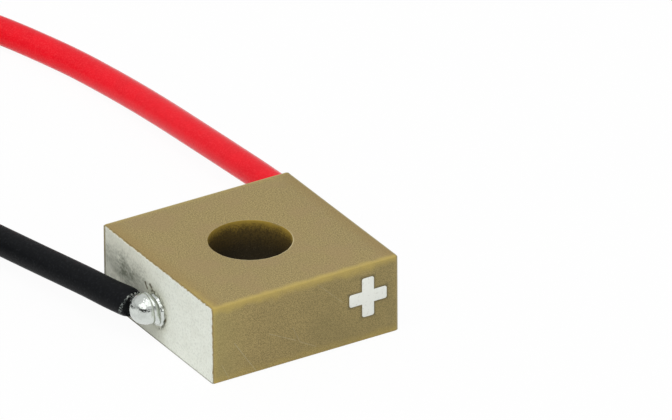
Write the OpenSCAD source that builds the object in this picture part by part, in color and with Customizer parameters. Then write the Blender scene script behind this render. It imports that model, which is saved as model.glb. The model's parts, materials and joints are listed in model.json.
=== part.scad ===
// Piezoelectric ring chip: a small square block of hard ceramic with a hole through it,
// a fired silver electrode on each of two opposite sides, a printed plus sign that marks
// the polarity, and a thin stranded lead soldered to each electrode.
// Millimetres. The origin is the centre of the bottom face, +Z runs along the hole,
// the negative electrode faces -X, the positive one +X, and the plus sign faces -Y.

/* [Ceramic block] */
// Length of the ceramic between its two electrodes
body_x = 5; // [4.2:0.1:9]
// Width of the ceramic, front to back
body_y = 5; // [4:0.1:9]
// Height of the ceramic, along the hole
body_h = 2; // [1.9:0.1:6]
// Diameter of the hole through the ceramic
bore_d = 2; // [0.6:0.1:3]
// Radius of the four long edges, which run from electrode to electrode
edge_r = 0.04; // [0.02:0.01:0.12]

/* [Electrodes] */
// Thickness of the fired silver
electrode_t = 0.04; // [0.02:0.01:0.1]
// Bare ceramic left round the silver
electrode_margin = 0.01; // [0.01:0.01:0.3]
// Corner radius of the silver patch
electrode_corner_r = 0.06; // [0.05:0.01:0.2]

/* [Polarity mark] */
// Length of each arm pair of the plus sign
mark_size = 1.02; // [0.5:0.02:1.4]
// Width of the arms of the plus sign
mark_arm = 0.32; // [0.14:0.02:0.44]
// Corner radius at the ends of the arms
mark_corner_r = 0.05; // [0.01:0.01:0.06]
// Thickness of the print
mark_t = 0.02; // [0.01:0.01:0.05]
// Distance from the positive end of the ceramic to the middle of the plus sign
mark_inset = 0.74; // [0.74:0.02:1.2]
// Height of the middle of the plus sign
mark_z = 1.12; // [0.8:0.02:1.16]

/* [Solder joints] */
// Radius of the round head of solder
head_r = 0.4; // [0.38:0.01:0.6]
// Distance of the middle of the head from the electrode
head_out = 0.28; // [0.2:0.01:0.34]
// Height of the middle of the head
head_z = 0.94; // [0.8:0.02:1.1]
// Sideways place of the middle of the head
head_y = 0.07; // [-0.5:0.01:0.5]
// Radius of the foot of solder that wets the silver
foot_r = 0.44; // [0.4:0.01:0.6]
// Radius of the rounded rim of the foot
foot_rim_r = 0.15; // [0.1:0.01:0.2]
// How far the foot sags below the middle of the head
foot_sag = 0.12; // [0:0.01:0.15]

/* [Leads] */
// Diameter of the insulation
lead_d = 0.7; // [0.5:0.02:0.76]
// Diameter of the stranded conductor
core_d = 0.38; // [0.2:0.02:0.42]
// Bare conductor between the solder head and the insulation
core_gap = 0.05; // [0.02:0.01:0.2]
// Depth of the conductor in the solder head
core_seat = 0.35; // [0.15:0.01:0.4]
// Angle at which the leads turn away from the electrodes
lead_splay = 13; // [10:1:20]
// Length of the stripped and tinned far end
tip_l = 5; // [2:0.5:8]

/* [Coils] */
// Mean radius of the turns of the negative lead
negative_coil_r = 3.6; // [3.4:0.1:4]
// Mean radius of the turns of the positive lead
positive_coil_r = 3.4; // [3.4:0.1:4]
// Width of the tie round each coil
tie_w = 0.5; // [0.3:0.1:1]
// Thickness of the tie
tie_t = 0.08; // [0.05:0.01:0.12]

/* [Hidden] */

$fn = 64;

// Overshoot of the cutting shapes
cut = 0.1;

// Outer faces of the electrodes
electrode_x = body_x / 2 + electrode_t;
electrode_y = body_y - 2 * electrode_margin;
electrode_z = body_h - 2 * electrode_margin;

// Middle of the negative solder head, and the direction in which the negative lead leaves it
head_mid = [-electrode_x - head_out, head_y, head_z];
lead_dir = [-sin(lead_splay), cos(lead_splay), 0];

// Place where the insulation of the negative lead starts; the positive lead mirrors it
lead_start = head_mid + (head_r + core_gap) * lead_dir;
lead_r = lead_d / 2;

// Routes of the leads from the insulation's start, as sideways and forward steps and a height
negative_route = [
    [0, 0, head_z], [-0.16, 0.7, 0.9], [-0.29, 1.5, 0.85], [-0.45, 2.5, 0.78], [-0.59, 3.5, 0.7],
    [-0.71, 4.5, 0.61], [-0.82, 5.4, 0.53], [-0.93, 6.3, 0.45], [-1.03, 7.2, 0.39]
];
positive_route = [
    [0, 0, head_z], [0.05, 0.7, 0.93], [0.07, 2.2, 0.9], [0.06, 3.8, 0.86], [0.03, 5.4, 0.79],
    [0.02, 7.0, 0.69], [0.03, 8.4, 0.58], [0.01, 9.6, 0.49], [-0.07, 11.0, 0.4], [-0.24, 12.3, 0.36],
    [-0.51, 13.5, lead_r], [-0.85, 14.7, lead_r], [-1.29, 15.9, lead_r], [-1.88, 17.15, lead_r]
];

// Middles of the coils, from the insulation's start
negative_coil_at = [-5.13, 8.33];
positive_coil_at = [-5.87, 16.54];

// Directions, seen from the middle of a coil, of its tie and of the place where the tail leaves it
negative_tie_a = 100;
positive_tie_a = 60;
negative_tail_a = 178;
positive_tail_a = 85;

// Height of the top turn, which nests in the groove between the two turns below it
top_turn_z = lead_r + lead_d * sin(60);

// Flats that stand for the round side of each turn in the outline of a coil
bundle_steps = 5;

// Route of a tail from the place where it leaves the coil, as forward steps and a height
tail_route = [
    [1.6, 1.05], [2.4, 0.98], [3.2, 0.78], [4.0, 0.54], [4.8, 0.39], [5.4, lead_r]
];

ceramic_colour = [0.62, 0.55, 0.38];
silver_colour = [0.87, 0.88, 0.84];
solder_colour = [0.75, 0.77, 0.78];
negative_colour = [0.08, 0.08, 0.09];
positive_colour = [0.9, 0.1, 0.16];
tie_colour = [0.93, 0.91, 0.86];

// A rectangle about the origin with true round corners
module rounded_rectangle(width, height, r) {
    square([width, height - 2 * r], center = true);
    square([width - 2 * r, height], center = true);
    for (sx = [-1, 1], sy = [-1, 1]) {
        translate([sx * (width / 2 - r), sy * (height / 2 - r)]) circle(r);
    }
}

// Turns a shape made for the negative side over to the positive side
module positive_side() {
    mirror([1, 0, 0]) children();
}

// Sweeps an outline of the ends of the block along the block, from one depth to another
module along_block(from_x, to_x) {
    translate([from_x, 0, body_h / 2]) rotate([90, 0, 90]) linear_extrude(to_x - from_x) children();
}

module ceramic_body() {
    color(ceramic_colour) difference() {
        along_block(-body_x / 2, body_x / 2) rounded_rectangle(body_y, body_h, edge_r);
        translate([0, 0, -cut]) cylinder(d = bore_d, h = body_h + 2 * cut);
    }
}

// A silver patch on the negative end of the ceramic
module electrode() {
    color(silver_colour) along_block(-electrode_x, -body_x / 2)
        rounded_rectangle(electrode_y, electrode_z, max(electrode_corner_r, edge_r));
}

module negative_electrode() {
    electrode();
}

module positive_electrode() {
    positive_side() electrode();
}

module polarity_mark() {
    color(silver_colour) translate([body_x / 2 - mark_inset, -body_y / 2, mark_z]) rotate([90, 0, 0])
        linear_extrude(mark_t) {
            rounded_rectangle(mark_size, mark_arm, mark_corner_r);
            rounded_rectangle(mark_arm, mark_size, mark_corner_r);
        }
}

// The stripped conductor from the insulation into the solder head
module core() {
    translate(lead_start) rotate([90, 0, lead_splay]) cylinder(d = core_d, h = core_gap + core_seat);
}

// Turns a profile about the outward axis of the negative electrode, with its base on the silver
module on_electrode(y, z) {
    translate([-electrode_x, y, z]) rotate([0, -90, 0]) rotate_extrude() children();
}

// The foot of solder, a low disc with a full round rim
module solder_foot() {
    rim_mid = foot_r - foot_rim_r;
    on_electrode(head_y, head_z - foot_sag) {
        square([rim_mid, foot_rim_r]);
        intersection() {
            translate([rim_mid, 0]) circle(foot_rim_r);
            square([foot_r + cut, foot_rim_r + cut]);
        }
    }
}

// The round head of solder, cut flat where it meets the silver
module solder_head() {
    on_electrode(head_y, head_z) intersection() {
        translate([0, head_out]) circle(head_r);
        square([head_r + cut, head_out + head_r + cut]);
    }
}

// A solder joint on the negative electrode, with the conductor's seat in it
module solder_joint() {
    color(solder_colour) difference() {
        union() {
            solder_foot();
            solder_head();
        }
        core();
    }
}

module negative_solder() {
    solder_joint();
}

module positive_solder() {
    positive_side() solder_joint();
}

module negative_core() {
    color(solder_colour) core();
}

module positive_core() {
    color(solder_colour) positive_side() core();
}

// Direction of a route at its point i
function heading(route, i) =
    let (step = route[min(i + 1, len(route) - 1)] - route[max(i - 1, 0)])
    step / norm(step);

// Eight points round a route at its point i, one of them straight below
function ring(route, i, first, last) =
    let (
        along = i == 0 ? first : i == len(route) - 1 ? last : heading(route, i),
        flat = cross(along, [0, 0, 1]),
        aside = flat / norm(flat),
        above = cross(aside, along)
    )
    [for (k = [0:7]) route[i] + lead_r * (cos(45 * k) * aside + sin(45 * k) * above)];

// An eight-sided tube along a route, square to the two given directions at its ends
module lead_tube(route, first, last) {
    count = len(route);
    points = [for (i = [0:count - 1]) each ring(route, i, first, last)];
    walls = [
        for (i = [0:count - 2], k = [0:7])
            let (a = 8 * i + k, b = 8 * i + (k + 1) % 8)
            each [[a, b, b + 8], [a, b + 8, a + 8]]
    ];
    near_end = [[7, 6, 5, 4, 3, 2, 1, 0]];
    far_end = [[for (k = [0:7]) 8 * (count - 1) + k]];
    polyhedron(points, concat(walls, near_end, far_end), convexity = 4);
}

// Outline of a bundle of three turns: two on the table and one in the groove between them
module bundle_outline(coil_r, grow = 0) {
    mids = [[coil_r - lead_r, lead_r], [coil_r + lead_r, lead_r], [coil_r, top_turn_z]];
    polygon([
        for (i = [0:2], k = [0:bundle_steps])
            let (a = 150 + 120 * (i + k / bundle_steps))
            mids[i] + (lead_r + grow) * [cos(a), sin(a)]
    ]);
}

// A band across the bundle between two heights
module bundle_band(coil_r, low, high) {
    half = 2 * lead_d;
    translate([coil_r - half, low]) square([2 * half, high - low]);
}

// Sweeps an outline along the part of a coil that its tie covers
module under_tie(coil_r, tie_a) {
    span = tie_w / coil_r * 180 / PI;
    rotate([0, 0, tie_a - span / 2]) rotate_extrude(angle = span) children();
}

// A tie round the bundle, lying under it on the table
module coil_tie(coil_r, tie_a) {
    top = top_turn_z + lead_d;
    under_tie(coil_r, tie_a) difference() {
        intersection() {
            bundle_outline(coil_r, tie_t);
            bundle_band(coil_r, 0, top);
        }
        intersection() {
            bundle_outline(coil_r);
            bundle_band(coil_r, tie_t, top);
        }
    }
}

// The coil of a lead, pressed in where its tie passes under it
module lead_coil(coil_r, tie_a) {
    difference() {
        rotate_extrude() bundle_outline(coil_r);
        under_tie(coil_r, tie_a) bundle_band(coil_r, -cut, tie_t);
    }
}

// Points along the straight tail of a coil
function tail_points(coil_r, tail_a) =
    let (from = coil_r * [cos(tail_a), sin(tail_a)], along = [-sin(tail_a), cos(tail_a)])
    [for (p = tail_route) [from.x + p.x * along.x, from.y + p.x * along.y, p.y]];

// Direction of the stripped end: level across the table, and down until its far end touches
function tip_dir(tail_a) =
    let (drop = asin((lead_r - core_d / 2) / tip_l))
    [-sin(tail_a) * cos(drop), cos(tail_a) * cos(drop), -sin(drop)];

// The loose end of a lead, from the top of its coil down to the table
module lead_tail(coil_r, tail_a) {
    route = tail_points(coil_r, tail_a);
    difference() {
        lead_tube(route, heading(route, 0), tip_dir(tail_a));
        rotate_extrude() bundle_outline(coil_r);
    }
}

// The stripped and tinned end of a lead, with a rounded tip
module lead_tip(coil_r, tail_a) {
    route = tail_points(coil_r, tail_a);
    along = tip_dir(tail_a);
    straight = tip_l - core_d / 2;
    translate(route[len(route) - 1]) rotate([0, acos(along.z), atan2(along.y, along.x)]) {
        cylinder(d = core_d, h = straight);
        translate([0, 0, straight]) sphere(d = core_d);
    }
}

// Route of a lead from the place where its insulation starts
function placed(start, route) = [for (p = route) [start.x + p.x, start.y + p.y, p.z]];

// A lead from its solder joint to its coil, cut off where it lies against the turns
module lead(start, route, first, coil_at, coil_r) {
    points = placed(start, route);
    difference() {
        lead_tube(points, first, heading(points, len(points) - 1));
        translate([start.x + coil_at.x, start.y + coil_at.y, 0])
            rotate_extrude() bundle_outline(coil_r);
    }
}

positive_start = [-lead_start.x, lead_start.y, lead_start.z];
positive_dir = [-lead_dir.x, lead_dir.y, lead_dir.z];

module at_negative_coil() {
    translate([lead_start.x + negative_coil_at.x, lead_start.y + negative_coil_at.y, 0]) children();
}

module at_positive_coil() {
    translate([positive_start.x + positive_coil_at.x, positive_start.y + positive_coil_at.y, 0]) children();
}

module negative_lead() {
    color(negative_colour) lead(lead_start, negative_route, lead_dir, negative_coil_at, negative_coil_r);
}

module negative_lead_coil() {
    color(negative_colour) at_negative_coil() lead_coil(negative_coil_r, negative_tie_a);
}

module negative_coil_tie() {
    color(tie_colour) at_negative_coil() coil_tie(negative_coil_r, negative_tie_a);
}

module negative_lead_tail() {
    color(negative_colour) at_negative_coil() lead_tail(negative_coil_r, negative_tail_a);
}

module negative_lead_tip() {
    color(solder_colour) at_negative_coil() lead_tip(negative_coil_r, negative_tail_a);
}

module positive_lead() {
    color(positive_colour)
        lead(positive_start, positive_route, positive_dir, positive_coil_at, positive_coil_r);
}

module positive_lead_coil() {
    color(positive_colour) at_positive_coil() lead_coil(positive_coil_r, positive_tie_a);
}

module positive_coil_tie() {
    color(tie_colour) at_positive_coil() coil_tie(positive_coil_r, positive_tie_a);
}

module positive_lead_tail() {
    color(positive_colour) at_positive_coil() lead_tail(positive_coil_r, positive_tail_a);
}

module positive_lead_tip() {
    color(solder_colour) at_positive_coil() lead_tip(positive_coil_r, positive_tail_a);
}

ceramic_body();
negative_electrode();
positive_electrode();
polarity_mark();
negative_solder();
positive_solder();
negative_core();
positive_core();
negative_lead();
negative_lead_coil();
negative_coil_tie();
negative_lead_tail();
negative_lead_tip();
positive_lead();
positive_lead_coil();
positive_coil_tie();
positive_lead_tail();
positive_lead_tip();
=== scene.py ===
"""Dresses a small piezoelectric ring chip: ceramic, electrodes, plus sign, solder joints and leads."""

from functools import reduce
import json
import math

import bmesh
import bpy
from mathutils import Matrix, Vector, noise


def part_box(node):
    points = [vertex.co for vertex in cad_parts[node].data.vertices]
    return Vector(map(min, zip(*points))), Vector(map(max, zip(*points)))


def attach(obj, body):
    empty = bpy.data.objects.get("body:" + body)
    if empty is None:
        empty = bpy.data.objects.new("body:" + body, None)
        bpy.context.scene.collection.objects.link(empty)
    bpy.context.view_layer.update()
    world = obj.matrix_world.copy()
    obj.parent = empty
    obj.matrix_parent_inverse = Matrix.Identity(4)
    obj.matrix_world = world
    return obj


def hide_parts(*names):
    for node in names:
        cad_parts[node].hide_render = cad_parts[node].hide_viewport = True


bl_info = {
    "name": "Piezoelectric Ring Chip",
    "version": (1, 0, 0),
    "blender": (4, 5, 0),
    "location": "3D View > Sidebar > Ring Chip",
    "description": "Makes a square ceramic ring chip with soldered leads, at its real size",
    "category": "Object",
}

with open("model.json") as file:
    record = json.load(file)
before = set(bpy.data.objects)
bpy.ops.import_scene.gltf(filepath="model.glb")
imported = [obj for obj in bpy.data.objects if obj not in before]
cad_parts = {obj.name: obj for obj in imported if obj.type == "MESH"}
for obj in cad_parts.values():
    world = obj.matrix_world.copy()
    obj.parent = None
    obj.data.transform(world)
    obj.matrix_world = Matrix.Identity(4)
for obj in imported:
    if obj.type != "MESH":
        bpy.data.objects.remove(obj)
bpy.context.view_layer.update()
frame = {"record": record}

MM = 0.001
BODY = "root"

# The chip's own sizes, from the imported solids
HALF_X, HALF_Y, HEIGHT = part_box("ceramic_body")[1]
BORE_R = frame["record"]["mounts"][0]["dims"]["r_mm"] * MM
SILVER_LOW, SILVER_HIGH = (Vector(corner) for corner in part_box("positive_electrode"))
SILVER_X = SILVER_HIGH.x
# The print sits a little nearer the middle and higher than its solid, as the photograph shows it
MARK_SHIFT = Vector((-0.052 * MM, 0, 0.02 * MM))
MARK_LOW, MARK_HIGH = (Vector(corner) + MARK_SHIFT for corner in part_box("polarity_mark"))

# A solder joint: its head and its sagging foot on the silver
HEAD_R = 0.4 * MM
HEAD_OUT = 0.28 * MM
HEAD_Y = 0.07 * MM
HEAD_Z = 0.94 * MM
FOOT_SAG = 0.12 * MM
FOLD_SLANT = 0.1 * MM

# The leads: where the insulation starts, on the positive side, and how it turns away from the silver
CORE_GAP = 0.05 * MM
CORE_SEAT = 0.35 * MM
LEAD_SPLAY = math.radians(13)
LEAD_AWAY = Vector((math.sin(LEAD_SPLAY), math.cos(LEAD_SPLAY), 0))
LEAD_START = Vector((SILVER_X + HEAD_OUT, HEAD_Y, HEAD_Z)) + (HEAD_R + CORE_GAP) * LEAD_AWAY
TIP_LENGTH = 5 * MM

# Routes from the start of the insulation, in millimetres: sideways and forward steps, and a height
NEGATIVE_ROUTE = [
    (0, 0, 0.89), (-0.16, 0.7, 0.87), (-0.29, 1.5, 0.84), (-0.45, 2.5, 0.78), (-0.59, 3.5, 0.7),
    (-0.71, 4.5, 0.61), (-0.82, 5.4, 0.53), (-0.93, 6.3, 0.45), (-1.03, 7.2, 0.39),
]
POSITIVE_ROUTE = [
    (0, 0, 0.94), (0.05, 0.7, 0.93), (0.07, 2.2, 0.9), (0.06, 3.8, 0.86), (0.03, 5.4, 0.79),
    (0.02, 7.0, 0.69), (0.03, 8.4, 0.58), (0.01, 9.6, 0.49), (-0.07, 11.0, 0.4), (-0.24, 12.3, 0.36),
    (-0.51, 13.5, 0.35), (-0.85, 14.7, 0.35), (-1.29, 15.9, 0.35), (-1.88, 17.15, 0.35),
]
TAIL_ROUTE = [(1.6, 1.05), (2.4, 0.98), (3.2, 0.78), (4.0, 0.54), (4.8, 0.39), (5.4, 0.35)]

# Each lead: the side of its joint, its route, and its coil: middle from the start of the insulation and
# mean radius in millimetres, degrees of its entry, its winding and its tie, and the insulation's length
LEADS = {
    "negative": {
        "side": -1, "route": NEGATIVE_ROUTE, "coil_at": (-5.13, 8.33), "coil_r": 3.6,
        "entry": 8, "winds": 890, "tie": 100, "length": 0.0707, "slot": "black_insulation",
    },
    "positive": {
        "side": 1, "route": POSITIVE_ROUTE, "coil_at": (-5.87, 16.54), "coil_r": 3.4,
        "entry": 34, "winds": 771, "tie": 60, "length": 0.0707, "slot": "red_insulation",
    },
}

# The photograph's camera: a distant pinhole, with its turns in degrees
VIEW_AZIMUTH = math.radians(-31.213)
VIEW_ELEVATION = math.radians(27.820)
VIEW_ROLL = math.radians(-0.329)
VIEW_DISTANCE = 300 * MM
VIEW_ASIDE = 2.0078 * MM
VIEW_ABOVE = 2.4680 * MM
PICTURE_WIDTH = 672
PIXELS_PER_MM = 42.408
VIEW_WIDTH = PICTURE_WIDTH / PIXELS_PER_MM * MM
SENSOR = 36
VIEW_NEAR = 0.01


def length_property(name, description, millimetres, least=0.0):
    """A length that a user can change, in millimetres here."""
    return bpy.props.FloatProperty(
        name=name, description=description, default=millimetres * MM, min=least * MM, unit="LENGTH",
        subtype="DISTANCE", precision=6)


class ChipSizes(bpy.types.PropertyGroup):
    """Sizes of the chip that its finish depends on"""

    edge_radius: length_property("Edge Radius", "Radius of the four long edges of the ceramic", 0.04)
    rim_bevel: length_property("Rim Bevel", "Width of the broken edge round the hole", 0.02)
    end_bevel: length_property("End Bevel", "Width of the broken edges at the ends of the ceramic", 0.012)
    silver_corner: length_property("Silver Corner", "Corner radius of the silver", 0.03)
    silver_wave: length_property("Silver Wave", "How far the edge of the silver wanders", 0.036)
    mark_arm: length_property("Mark Arm", "Width of the arms of the plus sign", 0.32)
    mark_corner: length_property("Mark Corner", "Corner radius of the plus sign", 0.055)
    lead_diameter: length_property("Lead Diameter", "Diameter of the insulation", 0.70, 0.3)
    core_diameter: length_property("Core Diameter", "Diameter of the stranded conductor", 0.38)
    thread_diameter: length_property("Thread Diameter", "Diameter of the thread of the ties", 0.08)


def colour_property(name, description, red, green, blue):
    """A colour that a user can change, in linear light."""
    return bpy.props.FloatVectorProperty(
        name=name, description=description, default=(red, green, blue), size=3, min=0, max=1,
        subtype="COLOR")


class ChipColours(bpy.types.PropertyGroup):
    """Colours of the chip"""

    ceramic: colour_property("Ceramic", "Ground faces of the ceramic", 0.332, 0.255, 0.104)
    edge: colour_property("Edge", "Thin edges that light comes through", 0.52, 0.390, 0.105)
    bore_shade: colour_property("Bore", "Deep wall of the hole", 0.030, 0.021, 0.007)
    silver: colour_property("Silver", "Fired silver of the electrodes", 0.82, 0.85, 0.76)
    mark: colour_property("Mark", "Printed plus sign", 0.86, 0.88, 0.82)
    solder: colour_property("Solder", "Bright solder", 0.63, 0.665, 0.63)
    tinned: colour_property("Tinned", "Tinned copper strands", 0.72, 0.72, 0.70)
    black: colour_property("Black", "Insulation of the negative lead", 0.006, 0.0065, 0.0075)
    red: colour_property("Red", "Insulation of the positive lead", 0.86, 0.008, 0.020)
    thread: colour_property("Thread", "Waxed thread of the ties", 0.80, 0.78, 0.70)


class Signal:
    """A node's output that takes part in sums: an expression on signals adds its Math nodes."""

    def __init__(self, finish, socket):
        self.finish = finish
        self.socket = socket

    def math(self, operation, *values):
        return self.finish.node("ShaderNodeMath", {"operation": operation}, dict(enumerate(values)))

    def __add__(self, other):
        return self.math("ADD", self, other)

    __radd__ = __add__

    def __sub__(self, other):
        return self.math("SUBTRACT", self, other)

    def __rsub__(self, other):
        return self.math("SUBTRACT", other, self)

    def __mul__(self, other):
        return self.math("MULTIPLY", self, other)

    __rmul__ = __mul__

    def __truediv__(self, other):
        return self.math("DIVIDE", self, other)

    def __abs__(self):
        return self.math("ABSOLUTE", self)

    def least(self, other):
        return self.math("MINIMUM", self, other)

    def most(self, other):
        return self.math("MAXIMUM", self, other)

    def root(self):
        return self.math("SQRT", self)

    def rise(self, low, high):
        """0 below low, 1 above high, and smooth between them."""
        return self.finish.node(
            "ShaderNodeMapRange", {"interpolation_type": "SMOOTHSTEP"},
            {"Value": self, "From Min": low, "From Max": high})

    def fall(self, low, high):
        return 1 - self.rise(low, high)

    def swing(self, width):
        """A noise about zero, as wide as given over its whole range."""
        return (self - 0.5) * width


class Shading:
    """The node tree of a material or of the world."""

    def __init__(self, owner):
        owner.use_nodes = True
        self.tree = owner.node_tree

    def node(self, kind, settings, sockets, output=0):
        made = self.tree.nodes.new(kind)
        for key, value in settings.items():
            setattr(made, key, value)
        for key, value in sockets.items():
            self.feed(made.inputs[key], value)
        return Signal(self, made.outputs[output])

    def feed(self, socket, value):
        if isinstance(value, Signal):
            self.tree.links.new(value.socket, socket)
        else:
            socket.default_value = value

    def mix(self, factor, first, second):
        """The first colour, with as much of the second as the factor says."""
        return self.node(
            "ShaderNodeMix", {"data_type": "RGBA", "clamp_factor": True},
            {0: factor, 6: opaque(first), 7: opaque(second)}, 2)

    def seen(self):
        """1 for rays that show a thing to the camera, in a reflection or through glass."""
        kinds = ("Is Camera Ray", "Is Glossy Ray", "Is Transmission Ray")
        camera, glossy, through = (self.node("ShaderNodeLightPath", {}, {}, kind) for kind in kinds)
        return camera.most(glossy).most(through)


class Finish(Shading):
    """A material with its colour so far, and the nodes that vary it over the surface."""

    def __init__(self, name, colour):
        self.material = bpy.data.materials.new(name)
        super().__init__(self.material)
        self.shader = self.tree.nodes["Principled BSDF"]
        self.colour = colour

    def place(self):
        """Object coordinates, as x, y and z in metres."""
        spot = self.node("ShaderNodeTexCoord", {}, {}, "Object")
        return [self.node("ShaderNodeSeparateXYZ", {}, {0: spot}, axis) for axis in "XYZ"]

    def grain(self, per_mm, detail=2.0, roughness=0.5, stretch=(1, 1, 1)):
        """Noise with about so many lumps to the millimetre, from 0 to 1."""
        spot = self.node("ShaderNodeTexCoord", {}, {}, "Object")
        laid = self.node("ShaderNodeVectorMath", {"operation": "MULTIPLY"}, {0: spot, 1: stretch})
        return self.node(
            "ShaderNodeTexNoise", {},
            {"Vector": laid, "Scale": per_mm / MM, "Detail": detail, "Roughness": roughness})

    def lay(self, factor, tone):
        """Lays a tone over the colour so far, as much as the factor says."""
        self.colour = self.mix(factor, self.colour, tone)

    def bump(self, height, depth):
        """A normal bent by a height, whose full range is so many metres deep."""
        return self.node("ShaderNodeBump", {}, {"Strength": 1.0, "Distance": depth, "Height": height})

    def coat(self, **sockets):
        """Feeds the shader its colour and more: words of a socket's name are joined by underscores."""
        self.feed(self.shader.inputs["Base Color"], opaque(self.colour))
        for name, value in sockets.items():
            self.feed(self.shader.inputs[name.replace("_", " ")], value)
        return self.material


def opaque(colour):
    """A colour with its alpha, for a node's socket. Signals pass as they are."""
    return colour if isinstance(colour, Signal) else (*colour, 1.0)


def shaded(colour, factor):
    """A colour made lighter or darker."""
    return tuple(min(1.0, part * factor) for part in colour)


def grey(level):
    """A grey of the given brightness."""
    return (level, level, level)


def line_on(across, up, start, end, width):
    """1 along a straight line on a face, and 0 away from it. Its ends are in millimetres."""
    start_across, start_up = (part * MM for part in start)
    run_across, run_up = ((b - a) * MM for a, b in zip(start, end))
    square = run_across ** 2 + run_up ** 2
    from_across = across - start_across
    from_up = up - start_up
    along = ((from_across * run_across + from_up * run_up) / square).most(0.0).least(1.0)
    off_across = from_across - along * run_across
    off_up = from_up - along * run_up
    distance = (off_across * off_across + off_up * off_up).root()
    return distance.fall(0.0, width)


def lines_on(across, up, lines, width):
    """The plainest of several lines on a face, each with how plainly it shows."""
    shown = [line_on(across, up, start, end, width) * plain for start, end, plain in lines]
    return reduce(Signal.most, shown)


# Scratches on the front face, as (x, z) in millimetres, and how plainly each shows
SCRATCHES = [
    ((-1.94, 0.93), (-1.33, 0.0), 0.75), ((-0.99, 0.91), (-0.27, 0.54), 0.6),
    ((-0.34, 0.88), (-0.16, 0.47), 0.5), ((-0.16, 0.47), (0.28, 0.22), 0.5),
    ((0.33, 1.85), (1.02, 1.18), 0.4), ((-2.29, 0.46), (-2.09, 0.04), 0.5),
]
SCRATCH_WIDTH = 0.014 * MM
# Tones of the ceramic, in linear light
CLOUD_TONE = (0.345, 0.240, 0.115)
DULL_TONE = (0.180, 0.157, 0.061)
PALE_TONE = (0.44, 0.385, 0.142)
BROWN_TONE = (0.31, 0.210, 0.074)
BACK_LINE_TONE = (0.60, 0.54, 0.28)
SCRATCH_TONE = (0.47, 0.42, 0.26)
MARK_SHADE = (0.085, 0.075, 0.045)
RIM_HIGHLIGHT = (0.62, 0.54, 0.31)
# Painted shade, painted amber light and painted glints of the hole
BORE_SHADE_BROWN = (0.14, 0.092, 0.021)
BORE_LIT_AMBER = (0.41, 0.275, 0.043)
BORE_SPECK = (0.13, 0.10, 0.055)
# How dark and how light the grain of the ceramic is, as parts of its colour
GRAIN_DARK = 0.71
GRAIN_LIGHT = 1.29


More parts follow.
